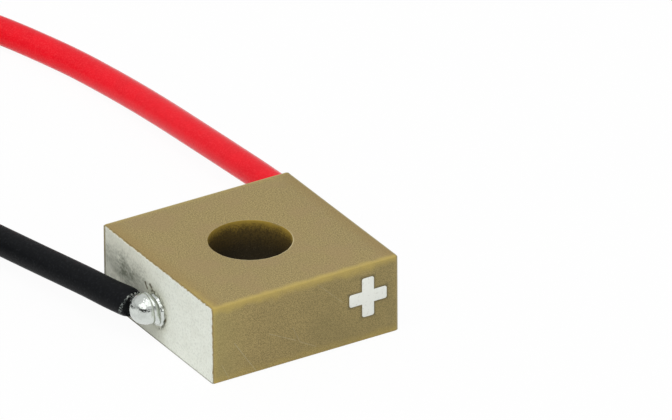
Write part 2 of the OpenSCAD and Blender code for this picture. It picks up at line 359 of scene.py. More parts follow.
def ceramic_finish(colours, sizes):
    """Ground ceramic: khaki with a fine grain, yellow with painted light where its long edges are thin,
    and with painted shade deep in the hole.
    """
    finish = Finish("ground_ceramic", shaded(colours.ceramic, GRAIN_DARK))
    x, y, z = finish.place()
    grain = finish.grain(25, 2.0, 0.6)
    speck = finish.grain(44, 1.0)
    cloud = finish.grain(1.1, 2.0)
    blotch = finish.grain(3.4, 2.0)
    to_end = HALF_X - abs(x)
    to_side = HALF_Y - abs(y)
    to_face = HEIGHT / 2 - abs(z - HEIGHT / 2)
    on_front = to_side.fall(0.0, 0.01 * MM) * y.fall(-1 * MM, 0.0)
    mottle = 0.5 + grain.swing(4.0 - on_front * 1.7) + speck.swing(5.0)
    finish.lay(mottle, shaded(colours.ceramic, GRAIN_LIGHT))
    finish.lay(cloud.rise(0.42, 0.68) * (0.4 - on_front * 0.3), CLOUD_TONE)
    dull = on_front * (0.08 + x.rise(-2 * MM, 2 * MM) * 0.2 + cloud.swing(0.6))
    finish.lay(dull, DULL_TONE)
    pale = on_front * x.fall(-2.7 * MM, -1.2 * MM) * 0.3
    finish.lay(pale, PALE_TONE)
    near_end = (to_end + blotch.swing(0.3 * MM)).fall(0.02 * MM, 0.45 * MM)
    finish.lay(near_end * to_face.fall(0.02 * MM, 0.1 * MM) * 0.5, BROWN_TONE)

    # Yellow edges, where light comes through the thin ceramic, widest along the front of the top
    wander = blotch.swing(0.20 * MM) + grain.swing(0.08 * MM)
    to_long_edge = to_side.most(to_face * 0.75) + wander
    thin = to_long_edge.fall(0.0, 0.2 * MM)
    front_top = y.fall(-0.5 * MM, 0.5 * MM) * z.rise(0.8 * MM, 1.2 * MM)
    low_right = x.rise(0.0, 2 * MM) * z.fall(0.8 * MM, 1.2 * MM)
    thin_show = thin * (0.3 + front_top * 0.45 + low_right * 0.15)
    finish.lay(thin_show, colours.edge)
    at_back = y.rise(0.0, 1 * MM) * to_side.most(to_face).fall(0.02 * MM, 0.08 * MM)
    finish.lay(at_back * 0.5, BACK_LINE_TONE)
    upright = (to_end.most(to_side) + wander * 0.6).fall(0.0, 0.14 * MM) * 0.22
    finish.lay(upright * (1 - x.rise(0.0, 2 * MM) * 0.5), colours.edge)
    near_corner = y.fall(-2.4 * MM, -0.4 * MM) * x.fall(0.0, 1 * MM)
    brink = (to_end.most(to_face) + wander).fall(0.0, 0.2 * MM) * near_corner
    finish.lay(brink * 0.6, colours.edge)

    lines = lines_on(x, z, SCRATCHES, SCRATCH_WIDTH) * on_front * grain.rise(0.2, 0.5)
    finish.lay(lines * 0.85, SCRATCH_TONE)

    # A soft shade on the ceramic round the plus sign
    across = abs(x - (MARK_LOW.x + MARK_HIGH.x) / 2)
    upward = abs(z - (MARK_LOW.z + MARK_HIGH.z) / 2)
    reach = (MARK_HIGH.x - MARK_LOW.x) / 2
    flat_arm = (across - reach).most(upward - sizes.mark_arm / 2)
    tall_arm = (across - sizes.mark_arm / 2).most(upward - reach)
    beside = flat_arm.least(tall_arm) + grain.swing(0.02 * MM)
    outline = beside.fall(0.0, 0.085 * MM) * on_front
    finish.lay(outline * 0.55, MARK_SHADE)

    from_axis = (x * x + y * y).root()
    # A painted highlight on the broken rim of the hole, strongest on its near side
    rim = from_axis.fall(BORE_R + 0.012 * MM, BORE_R + 0.04 * MM)
    finish.lay(rim * (0.12 + y.fall(-0.7 * MM, 0.1 * MM) * 0.7), RIM_HIGHLIGHT)
    # Painted shade in the hole: its wall darkens with depth, painted light makes it amber near the rims,
    # and its light specks are painted glints
    in_bore = from_axis.fall(BORE_R + 0.001 * MM, BORE_R + 0.009 * MM)
    depth = to_face + blotch.swing(0.16 * MM) + grain.swing(0.1 * MM)
    wall = finish.mix(depth.rise(0.05 * MM, 0.85 * MM), BORE_SHADE_BROWN, colours.bore_shade)
    wall = finish.mix(depth.fall(0.02 * MM, 0.3 * MM), wall, BORE_LIT_AMBER)
    pits = grain.rise(0.42, 0.62) * depth.rise(0.0, 0.2 * MM)
    wall = finish.mix(pits * 0.45, wall, shaded(colours.bore_shade, 0.5))
    glints = speck.rise(0.6, 0.74) * depth.rise(0.1 * MM, 0.5 * MM)
    wall = finish.mix(glints * 0.4, wall, BORE_SPECK)
    finish.lay(in_bore, wall)

    rough = 0.58 + grain.swing(0.22)
    relief = finish.bump(grain * 0.6 + speck * 0.5 - lines * 0.8, 0.004 * MM)
    return finish.coat(Roughness=rough, Normal=relief, Specular_IOR_Level=0.16)


# Dark flux on the silver about the joint, as (y, z) in millimetres, and how plainly each mark shows
FLUX_MARKS = [
    ((0.55, 1.31), (0.49, 1.22), 0.8), ((0.33, 1.36), (0.29, 1.32), 0.9),
    ((0.25, 1.26), (0.13, 1.26), 0.75), ((0.04, 1.22), (-0.1, 1.16), 0.55),
    ((-0.26, 1.02), (-0.34, 0.88), 0.45), ((-0.34, 0.74), (-0.34, 0.72), 0.9),
    ((-0.2, 0.48), (-0.12, 0.43), 0.4),
]
FLUX_WIDTH = 0.09 * MM
# Tones of the silver and of what lies on it, in linear light
SILVER_SPECK = (0.52, 0.545, 0.475)
SILVER_CLOUD = (0.64, 0.655, 0.56)
SILVER_BRIGHT = (0.93, 0.94, 0.90)
SILVER_WARM = (0.74, 0.70, 0.52)
SILVER_THIN = (0.42, 0.40, 0.30)
SMUDGE_AND_SHADE_TONE = (0.175, 0.19, 0.14)
UNDER_TONE = (0.38, 0.385, 0.28)
STAIN_TONE = (0.46, 0.46, 0.34)
FRINGE_TONE = (0.10, 0.105, 0.075)
FLUX_TONE = (0.11, 0.095, 0.05)
BARE_SHADE_LOW = (0.09, 0.08, 0.035)
BARE_SHADE_HIGH = (0.28, 0.22, 0.09)


def silver_finish(colours):
    """Fired silver: matte off-white with grey-green specks, smudged and flux-stained about the joint,
    with painted shade above the lead and along its bottom edge.
    """
    finish = Finish("fired_silver", colours.silver)
    x, y, z = finish.place()
    speck = finish.grain(17, 2.0, 0.6)
    fine = finish.grain(40, 1.0)
    blotch = finish.grain(4.2, 3.0, 0.6, (1, 0.38, 1))
    crinkle = finish.grain(9, 2.0, 0.6)
    streaky_grain = finish.grain(9, 2.0, 0.6, (1, 0.4, 1))
    finish.lay(speck.rise(0.45, 0.7) * 0.42, SILVER_SPECK)
    finish.lay(finish.grain(2.6, 3.0, 0.6).rise(0.4, 0.7) * 0.3, SILVER_CLOUD)
    finish.lay(fine.rise(0.55, 0.75) * 0.22, SILVER_BRIGHT)
    finish.lay(y.rise(-0.8 * MM, 1.2 * MM) * 0.3, SILVER_WARM)

    # Dark smudges above the lead, from the joint to the back edge: partly real smudging and partly
    # painted shade of the lead, darkest just above it
    along = (y - 1.4 * MM) / (1.5 * MM)
    above = (z - 1.2 * MM) / (0.68 * MM)
    spread = (along * along + above * above).root() + blotch.swing(1.5) + streaky_grain.swing(0.6)
    smudge_and_shade = spread.fall(0.05, 1.15)
    shade_beside_lead = z.fall(1.05 * MM, 1.5 * MM) * y.rise(0.5 * MM, 1.0 * MM)
    smudge_and_shade_amount = 0.49 + shade_beside_lead * 0.4 + streaky_grain.swing(1.6) + speck.swing(0.9)
    finish.lay(smudge_and_shade * smudge_and_shade_amount, SMUDGE_AND_SHADE_TONE)
    low = (z - 0.1 * MM) / (0.3 * MM)
    aside = (y - 0.2 * MM) / (0.75 * MM)
    under = (low * low + aside * aside).root() + blotch.swing(1.2)
    finish.lay(under.fall(0.2, 1.2) * 0.3, UNDER_TONE)

    # Flux stain and crinkled fringe round the foot of the solder
    foot_y = y - HEAD_Y
    foot_z = z - (HEAD_Z - FOOT_SAG)
    ring = (foot_y * foot_y + foot_z * foot_z).root() + crinkle.swing(0.2 * MM) + 0.04 * MM
    stain = ring.fall(0.48 * MM, 0.74 * MM)
    finish.lay(stain * 0.5, STAIN_TONE)
    fringe = ring.rise(0.455 * MM, 0.50 * MM) * ring.fall(0.50 * MM, 0.58 * MM)
    finish.lay(fringe * crinkle.rise(0.42, 0.6) * 0.8, FRINGE_TONE)

    marks = lines_on(y, z, FLUX_MARKS, FLUX_WIDTH)
    broken = (marks + streaky_grain.swing(0.8) + crinkle.swing(1.2)).rise(0.25, 0.75)
    finish.lay(broken * marks.rise(0.0, 0.25) * 0.9, FLUX_TONE)

    # The ceramic shows through where the silver thins out at its edge
    inset = (SILVER_HIGH.y - abs(y)).least(SILVER_HIGH.z - z).least(z - SILVER_LOW.z)
    thin = (inset + crinkle.swing(0.03 * MM)).fall(0.0, 0.02 * MM)
    finish.lay(thin * 0.25, SILVER_THIN)
    # A dark line along the bottom and back edges of the silver: bare ceramic, with painted shade that is
    # darkest near the table
    dark_edge = z.least((HALF_Y - y) * 0.5) + crinkle.swing(0.02 * MM)
    bare = finish.mix(z.rise(0.6 * MM, 1.7 * MM), BARE_SHADE_LOW, BARE_SHADE_HIGH)
    shown = dark_edge.fall(0.03 * MM, 0.064 * MM) * (0.6 + y.rise(-1 * MM, 1 * MM) * 0.3)
    finish.lay(shown, bare)
    side = abs(x).fall(SILVER_X - 0.014 * MM, SILVER_X - 0.008 * MM)
    finish.lay(side * 0.9, colours.ceramic)
    rough = 0.5 + speck.swing(0.3) + smudge_and_shade * 0.15
    relief = finish.bump(speck * 0.7 + fine * 0.4 + fringe * crinkle * 2.0, 0.006 * MM)
    return finish.coat(Roughness=rough, Normal=relief, Specular_IOR_Level=0.3)


# Tones of the print, the solder, the strands, the leads and the thread, in linear light
PRINT_WORN = (0.56, 0.56, 0.50)
PRINT_FOOT_SHADE = (0.10, 0.085, 0.05)
SOLDER_FLUX_AND_SHADE = (0.30, 0.29, 0.23)
COPPER_TRACE = (0.62, 0.50, 0.40)
BLACK_DUST = (0.013, 0.0145, 0.016)
BLACK_WORN = (0.020, 0.022, 0.024)
DUST_DULL = (0.24, 0.265, 0.25)
DUST_HIGHLIGHT = (0.6, 0.63, 0.6)
RED_LIGHT = (0.97, 0.05, 0.06)
RED_MELTED = (0.33, 0.03, 0.03)
THREAD_SHADE = (0.56, 0.53, 0.45)


def mark_finish(colours):
    """Printed silver of the plus sign, a little worn, with painted shade along its foot."""
    finish = Finish("printed_silver", colours.mark)
    y = finish.place()[1]
    speck = finish.grain(15, 2.0)
    finish.lay(speck.rise(0.56, 0.74) * 0.35, PRINT_WORN)
    # Painted shade along the foot of the print's sides, next to the ceramic
    height = -1 * (y + HALF_Y)
    finish.lay(height.fall(0.002 * MM, 0.012 * MM) * 0.45, PRINT_FOOT_SHADE)
    relief = finish.bump(speck, 0.003 * MM)
    return finish.coat(Roughness=0.5 + speck.swing(0.2), Normal=relief)


# Heights of the two grooves of a solder joint over the silver, in millimetres
FOOT_GROOVE = 0.1
NECK_GROOVE = 0.27


def groove(out, height):
    """1 at a height over the silver, in millimetres, and 0 a little away from it."""
    return abs(out - height * MM).fall(0.004 * MM, 0.016 * MM)


def solder_finish(colours):
    """Bright solder, frosted here and there, with dull flux and painted shade in its creases."""
    finish = Finish("bright_solder", colours.solder)
    x, _, z = finish.place()
    out = abs(x) - SILVER_X
    low = ((HEAD_Z - z) / HEAD_R).most(0.0)
    sunk = out + low * FOLD_SLANT * out.rise(0.0, 0.2 * MM) * out.fall(0.2 * MM, 0.6 * MM)
    frost = finish.grain(6, 2.0)
    fine = finish.grain(20, 2.0)
    crease = (out + frost.swing(0.05 * MM)).fall(0.0, 0.05 * MM)
    crease = crease.most(groove(sunk, FOOT_GROOVE) * 0.8).most(groove(sunk, NECK_GROOVE))
    finish.lay(frost.rise(0.42, 0.68) * 0.5, shaded(colours.solder, 0.78))
    # Painted shade, with dull flux, in the creases and grooves and where the foot meets the silver
    finish.lay(crease * 0.55, SOLDER_FLUX_AND_SHADE)
    rough = 0.1 + frost.rise(0.4, 0.75) * 0.12 + crease * 0.25
    relief = finish.bump(frost + fine * 0.16, 0.026 * MM)
    return finish.coat(Metallic=1.0, Roughness=rough, Normal=relief)


def tinned_finish(colours):
    """Tinned copper strands, with a trace of copper between them."""
    finish = Finish("tinned_strands", colours.tinned)
    patch = finish.grain(3.5, 2.0)
    fine = finish.grain(22, 2.0)
    finish.lay(patch.rise(0.55, 0.8) * 0.4, COPPER_TRACE)
    rough = 0.24 + fine.swing(0.2)
    relief = finish.bump(fine, 0.006 * MM)
    return finish.coat(Metallic=1.0, Roughness=rough, Normal=relief)


def past_end(finish, sizes):
    """Distance along the surface of either lead from the rim of its cut end, and height over its axis."""
    x, y, z = finish.place()
    from_x = abs(x) - LEAD_START.x
    from_y = y - LEAD_START.y
    along = from_x * LEAD_AWAY.x + from_y * LEAD_AWAY.y
    aside = from_x * LEAD_AWAY.y - from_y * LEAD_AWAY.x
    above = z - LEAD_START.z
    return along + (aside * aside + above * above).root() - sizes.lead_diameter / 2, above


# How far the ring of dust leans towards the joint at its top, for its height
RING_SLANT = 0.7


def black_finish(colours, sizes):
    """Matte black insulation, with a sparkly ring of flux and solder dust at its melted end, and a
    painted highlight on the dust along its top.
    """
    finish = Finish("black_insulation", colours.black)
    past, above = past_end(finish, sizes)
    dust = finish.grain(9, 3.0, 0.65)
    fine = finish.grain(30, 2.0)
    finish.lay(dust.rise(0.5, 0.8) * 0.5, BLACK_DUST)
    finish.lay(finish.grain(17, 2.0).rise(0.52, 0.74) * 0.5, BLACK_WORN)
    ring = abs(past + above * RING_SLANT + dust.swing(0.16 * MM)).fall(0.025 * MM, 0.075 * MM)
    sparkle = ring * finish.grain(22, 2.0).rise(0.46, 0.6)
    finish.lay(sparkle * 0.85, DUST_DULL)
    # A painted highlight on the dust along the top of the ring
    finish.lay(sparkle * above.rise(0.12 * MM, 0.2 * MM), DUST_HIGHLIGHT)
    rough = 0.52 + fine.swing(0.16) - sparkle * 0.15
    relief = finish.bump(fine * 0.5 + dust * 0.5 + sparkle, 0.006 * MM)
    return finish.coat(Roughness=rough, Normal=relief, Specular_IOR_Level=0.05)


def red_finish(colours, sizes):
    """Satin red insulation, a little darkened at its melted end."""
    finish = Finish("red_insulation", colours.red)
    past = past_end(finish, sizes)[0]
    cloud = finish.grain(2.2, 2.0)
    fine = finish.grain(26, 2.0)
    finish.lay(cloud.rise(0.35, 0.7) * 0.5, shaded(colours.red, 0.88))
    finish.lay(fine.rise(0.42, 0.72) * 0.45, RED_LIGHT)
    ring = (past + fine.swing(0.1 * MM)).fall(0.08 * MM, 0.22 * MM)
    finish.lay(ring * 0.45, RED_MELTED)
    rough = 0.32 + fine.swing(0.14)
    relief = finish.bump(fine * 0.5 + cloud * 0.5, 0.012 * MM)
    return finish.coat(
        Roughness=rough, Normal=relief, Specular_IOR_Level=0.08, Sheen_Weight=0.22, Sheen_Roughness=0.3)


def thread_finish(colours):
    """Waxed thread, laid up from fine fibres."""
    finish = Finish("waxed_thread", colours.thread)
    fibre = finish.grain(28, 2.0)
    finish.lay(fibre.rise(0.35, 0.7) * 0.5, THREAD_SHADE)
    return finish.coat(Roughness=0.6 + fibre.swing(0.2), Normal=finish.bump(fibre, 0.01 * MM))


def show(context, data, material, nodes):
    """Puts a finished shape in the scene as a piece of the chip that stands for the given solids."""
    data.materials.append(material)
    piece = bpy.data.objects.new(data.name, data)
    context.scene.collection.objects.link(piece)
    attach(piece, BODY)
    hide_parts(*nodes)
    return piece


# How near points of a mesh count as one, and the angles past which edges of the pieces stay sharp
MERGE = 0.0002 * MM
CERAMIC_SHARP = math.radians(40)
SILVER_SHARP = math.radians(50)


def close_mesh(bm, name, sharp=None):
    """The mesh of a closed shape, with its faces outwards and smooth but for edges past an angle."""
    bmesh.ops.remove_doubles(bm, verts=bm.verts, dist=MERGE)
    bmesh.ops.recalc_face_normals(bm, faces=bm.faces)
    mesh = bpy.data.meshes.new(name)
    bm.to_mesh(mesh)
    bm.free()
    mesh.shade_smooth()
    if sharp is not None:
        mesh.set_sharp_from_angle(angle=sharp)
    return mesh


def of_kind(kind, geom):
    """The parts of one kind in what a mesh operation gives back."""
    return [part for part in geom if isinstance(part, kind)]


def bevel(bm, geom, width, segments, affect="EDGES"):
    """Rounds edges, or corners in their plane."""
    bmesh.ops.bevel(
        bm, geom=geom, affect=affect, offset=width, offset_type="OFFSET", segments=segments, profile=0.5,
        material=-1)


def turned(profile, sides):
    """A shape turned about the z axis from points at (distance from the axis, height)."""
    bm = bmesh.new()
    verts = [bm.verts.new((radius, 0, height)) for radius, height in profile]
    edges = [bm.edges.new(pair) for pair in zip(verts, verts[1:])]
    bmesh.ops.spin(
        bm, geom=verts + edges, cent=(0, 0, 0), axis=(0, 0, 1), angle=2 * math.pi, steps=sides,
        use_merge=True)
    return bm


def even_normals(piece):
    """Keeps the broad flat faces flat beside their rounded edges."""
    modifier = piece.modifiers.new("even_normals", "WEIGHTED_NORMAL")
    modifier.keep_sharp = True


def ramp(value, low, high):
    """0 below low, 1 above high, and smooth between them."""
    share = min(1.0, max(0.0, (value - low) / (high - low)))
    return share * share * (3 - 2 * share)


def smooth_line(points, first, spacing):
    """Points a given distance apart on a smooth curve through the given ones."""
    gaps = [(there - here).length for here, there in zip(points, points[1:])]
    slopes = [first]
    for i in range(1, len(points) - 1):
        before = (points[i] - points[i - 1]) / gaps[i - 1]
        after = (points[i + 1] - points[i]) / gaps[i]
        slopes.append((before * gaps[i] + after * gaps[i - 1]) / (gaps[i - 1] + gaps[i]))
    slopes.append((points[-1] - points[-2]) / gaps[-1])
    line = []
    for i, gap in enumerate(gaps):
        count = max(1, round(gap / spacing))
        for step in range(count):
            t = step / count
            line.append(
                points[i] * (1 + 2 * t) * (1 - t) ** 2 + slopes[i] * gap * t * (1 - t) ** 2
                + points[i + 1] * t * t * (3 - 2 * t) + slopes[i + 1] * gap * t * t * (t - 1))
    line.append(points[-1])
    return line


def lead_start(lead):
    """Where the insulation of a lead starts."""
    return Vector((lead["side"] * LEAD_START.x, LEAD_START.y, LEAD_START.z))


def lead_away(lead):
    """The direction in which a lead leaves its joint."""
    return Vector((lead["side"] * LEAD_AWAY.x, LEAD_AWAY.y, LEAD_AWAY.z))


def coil_middle(lead):
    """The middle of a lead's coil, on the table."""
    start = lead_start(lead)
    return Vector((start.x + lead["coil_at"][0] * MM, start.y + lead["coil_at"][1] * MM, 0))


def round_coil(lead, radius, height, angle):
    """A point of a coil at an angle in degrees."""
    turn = math.radians(angle)
    return coil_middle(lead) + Vector((radius * math.cos(turn), radius * math.sin(turn), height))


def tail_points(lead):
    """Points of the straight tail, from the top of the coil down to the table."""
    angle = lead["entry"] + lead["winds"]
    start = round_coil(lead, lead["coil_r"] * MM, 0, angle)
    turn = math.radians(angle)
    ahead = Vector((-math.sin(turn), math.cos(turn), 0))
    return [start + ahead * forward * MM + Vector((0, 0, height * MM)) for forward, height in TAIL_ROUTE]


COIL_STEP = 5
# Degrees that a coil has wound through where it crosses inwards, climbs, crosses outwards and settles
COIL_INWARD = (300, 360)
COIL_CLIMB = (595, 650)
COIL_OUTWARD = (620, 670)
COIL_SETTLE = (720, 760)
# How much higher a turn lies in the groove between two others, in diameters
COIL_NEST = math.sin(math.radians(60))
TIE_LIFT_FROM = 8
TIE_LIFT_TO = 30


def coil_points(lead, sizes):
    """Turns of a coil: an outer and an inner one on the table, and one in the groove between them."""
    wire = sizes.lead_diameter
    mean = lead["coil_r"] * MM
    outer = mean + wire / 2
    inner = mean - wire / 2
    low = wire / 2
    over = low + wire
    top = low + wire * COIL_NEST
    points = []
    for along in range(0, lead["winds"] + 1, COIL_STEP):
        angle = lead["entry"] + along
        radius = outer + (inner - outer) * ramp(along, *COIL_INWARD)
        radius += (mean - inner) * ramp(along, *COIL_OUTWARD)
        height = low + (over - low) * ramp(along, *COIL_CLIMB)
        height += (top - over) * ramp(along, *COIL_SETTLE)
        from_tie = abs((angle - lead["tie"] + 180) % 360 - 180)
        height += sizes.thread_diameter * (1 - ramp(from_tie, TIE_LIFT_FROM, TIE_LIFT_TO))
        points.append(round_coil(lead, radius, height, angle))
    return points


LEAD_SPACING = 0.12 * MM
MELT_SPACING = 0.02 * MM
MELT_LENGTH = 0.6 * MM
# Distance from the cut end of the insulation, in millimetres, and the part of its radius there
MELTED_END = [
    (0.0, 0.8), (0.03, 0.9), (0.08, 0.99), (0.14, 1.02),
    (0.25, 1.03), (0.4, 1.02), (0.6, 1.01), (1.4, 1.0),
]


def melted_radius(along):
    """How much thicker or thinner the insulation is at a distance from its cut end."""
    for (near, first), (far, second) in zip(MELTED_END, MELTED_END[1:]):
        if along <= far * MM:
            return first + (second - first) * max(0.0, along - near * MM) / ((far - near) * MM)
    return 1.0


def lead_line(lead, sizes):
    """The whole centre line of a lead's insulation, with its points close together at the melted end."""
    start = lead_start(lead)
    route = [Vector((start.x + x * MM, start.y + y * MM, z * MM)) for x, y, z in lead["route"]]
    points = route + coil_points(lead, sizes) + tail_points(lead)
    close = smooth_line(points[:3], lead_away(lead), MELT_SPACING)
    line = smooth_line(points, lead_away(lead), LEAD_SPACING)
    melted = [point for point in close if (point - start).length < MELT_LENGTH]
    return melted + [point for point in line if (point - start).length > MELT_LENGTH + MELT_SPACING]


TUBE_RESOLUTION = 5


def tube(name, lines, radius, swell, cyclic=False):
    """A round tube along each of the given lines, as one curve."""
    curve = bpy.data.curves.new(name, "CURVE")
    curve.dimensions = "3D"
    curve.bevel_depth = radius
    curve.bevel_resolution = TUBE_RESOLUTION
    curve.use_fill_caps = True
    for points in lines:
        spline = curve.splines.new("POLY")
        spline.points.add(len(points) - 1)
        spline.use_cyclic_u = cyclic
        spline.use_smooth = True
        for knot, point in zip(spline.points, points):
            knot.co = (*point, 1.0)
            knot.radius = swell(point)
    return curve


STRAND_LOBES = 6
STRAND_LOBE_SIDES = 8
STRAND_GROOVE = 0.16
STRAND_STEP = 0.12 * MM
STRAND_LAY = 4.5 * MM
STRAND_END_STEPS = 6


def strand_bar(name, radius, length, start, along):
    """Twisted and tinned strands as one grooved bar, with a rounded far end."""
    bm = bmesh.new()
    ring = bmesh.ops.create_circle(
        bm, cap_ends=True, segments=STRAND_LOBES * STRAND_LOBE_SIDES, radius=radius)["verts"]
    for vert in ring:
        lobe = abs(math.sin(math.atan2(vert.co.y, vert.co.x) * STRAND_LOBES / 2))
        vert.co *= 1 - STRAND_GROOVE * (1 - lobe) ** 2
    straight = length - radius
    steps = max(2, round(straight / STRAND_STEP))
    spun = bmesh.ops.spin(
        bm, geom=bm.edges[:], cent=(0, 0, 0), axis=(0, 0, 1),
        dvec=(0, 0, straight / steps), angle=straight / STRAND_LAY * 2 * math.pi, steps=steps)
    last = of_kind(bmesh.types.BMEdge, spun["geom_last"])
    for step in range(1, STRAND_END_STEPS):
        before, turn = (math.radians(90 * part / STRAND_END_STEPS) for part in (step - 1, step))
        grown = bmesh.ops.extrude_edge_only(bm, edges=last)["geom"]
        verts = of_kind(bmesh.types.BMVert, grown)
        shrink = math.cos(turn) / math.cos(before)
        lift = radius * (math.sin(turn) - math.sin(before))
        bmesh.ops.scale(bm, vec=(shrink, shrink, 1), verts=verts)
        bmesh.ops.translate(bm, vec=(0, 0, lift), verts=verts)
        last = of_kind(bmesh.types.BMEdge, grown)
    bmesh.ops.edgeloop_fill(bm, edges=last)
    aimed = along.to_track_quat("Z", "Y").to_matrix().to_4x4()
    bmesh.ops.transform(bm, matrix=Matrix.Translation(start) @ aimed, verts=bm.verts)
    return close_mesh(bm, name)


def tip_away(lead, sizes):
    """The direction of the stripped end: down until its far end touches the table."""
    turn = math.radians(lead["entry"] + lead["winds"])
    drop = math.asin((sizes.lead_diameter - sizes.core_diameter) / 2 / TIP_LENGTH)
    level = math.cos(drop)
    return Vector((-math.sin(turn) * level, math.cos(turn) * level, -math.sin(drop)))


TIE_WRAPS = 6
TIE_ARC_STEPS = 8
# The first degree of a loop's bend round the inner turn, its bend round each turn, and the loops' spacing
TIE_FROM = 150
TIE_ARC = 120
TIE_PITCH = 1.03


def tie_loops(lead, sizes):
    """Loops of thread round the three turns of a coil."""
    wire = sizes.lead_diameter
    thread = sizes.thread_diameter
    mean = lead["coil_r"] * MM
    lift = thread + wire / 2
    middles = [(mean - wire / 2, lift), (mean + wire / 2, lift), (mean, lift + wire * COIL_NEST)]
    reach = wire / 2 + thread / 2
    pitch = math.degrees(thread * TIE_PITCH / mean)
    loops = []
    for wrap in range(TIE_WRAPS):
        angle = lead["tie"] + (wrap - (TIE_WRAPS - 1) / 2) * pitch
        loop = []
        for i, (radius, height) in enumerate(middles):
            for step in range(TIE_ARC_STEPS + 1):
                turn = math.radians(TIE_FROM + TIE_ARC * (i + step / TIE_ARC_STEPS))
                loop.append(round_coil(
                    lead, radius + reach * math.cos(turn), height + reach * math.sin(turn), angle))
        loops.append(loop)
    return loops


def make_lead(context, kind, lead, insulation, tinned, thread):
    """One lead: its insulation with the coil, its conductor at both ends and its tie."""
    sizes = context.scene.chip_sizes
    line = lead_line(lead, sizes)
    start = lead_start(lead)
    insulated = tube(
        f"{kind}_lead_insulation", [line], sizes.lead_diameter / 2,
        lambda point: melted_radius((point - start).length))
    wire = show(
        context, insulated, insulation,
        [f"{kind}_lead", f"{kind}_lead_coil", f"{kind}_lead_tail"])
    strand_r = sizes.core_diameter / 2
    core = strand_bar(f"{kind}_lead_core", strand_r, CORE_GAP + CORE_SEAT, start, -lead_away(lead))
    show(context, core, tinned, [f"{kind}_core"])
    bare = strand_bar(f"{kind}_lead_end", strand_r, TIP_LENGTH, line[-1], tip_away(lead, sizes))
    tip = show(context, bare, tinned, [f"{kind}_lead_tip"])
    loops = tube(
        f"{kind}_thread_tie", tie_loops(lead, sizes), sizes.thread_diameter / 2, lambda point: 1.0, True)
    tie = show(context, loops, thread, [f"{kind}_coil_tie"])


class RINGCHIP_OT_camera(bpy.types.Operator):
    """Place the camera at the photograph's viewing angle"""

    bl_idname = "ring_chip.camera"
    bl_label = "Place Camera"

    def execute(self, context):
        flat = math.cos(VIEW_ELEVATION)
        level = Vector((math.cos(VIEW_AZIMUTH), math.sin(VIEW_AZIMUTH), 0))
        back = Vector((level.y * flat, -level.x * flat, math.sin(VIEW_ELEVATION)))
        above = back.cross(level)
        right = math.cos(VIEW_ROLL) * level + math.sin(VIEW_ROLL) * above
        up = math.cos(VIEW_ROLL) * above - math.sin(VIEW_ROLL) * level
        data = bpy.data.cameras.new("camera")
        data.sensor_width = SENSOR
        data.lens = SENSOR * VIEW_DISTANCE / VIEW_WIDTH
        data.clip_start = VIEW_NEAR
        camera = bpy.data.objects.new("camera", data)
        aimed = Matrix((right, up, back)).transposed().to_4x4()
        target = VIEW_ASIDE * right + VIEW_ABOVE * up
        camera.matrix_world = Matrix.Translation(target + VIEW_DISTANCE * back) @ aimed
        context.scene.collection.objects.link(camera)
        context.scene.camera = camera
        return {"FINISHED"}


class RINGCHIP_OT_leads(bpy.types.Operator):
    """Make both leads with their coils, stripped ends and ties"""

    bl_idname = "ring_chip.leads"
    bl_label = "Make Leads"

    def execute(self, context):
        colours = context.scene.chip_colours
        sizes = context.scene.chip_sizes
        tinned = tinned_finish(colours)
        thread = thread_finish(colours)
        make_lead(context, "negative", LEADS["negative"], black_finish(colours, sizes), tinned, thread)
        make_lead(context, "positive", LEADS["positive"], red_finish(colours, sizes), tinned, thread)
        return {"FINISHED"}


BORE_SIDES = 96
EDGE_CUTS = 5
RIM_CHIPPING = 0.008 * MM
CHIP_LENGTH = 0.12 * MM
# How near two places count as one, and how near a plane may pass a point without cutting beside it
NEAR = 1e-7
CUT_SLACK = 1e-8
WALL_CUT = 0.1 * MM
WALL_CUTS = (WALL_CUT, HEIGHT / 2, HEIGHT - WALL_CUT)
END_STEPS = 2
RIM_STEPS = 3


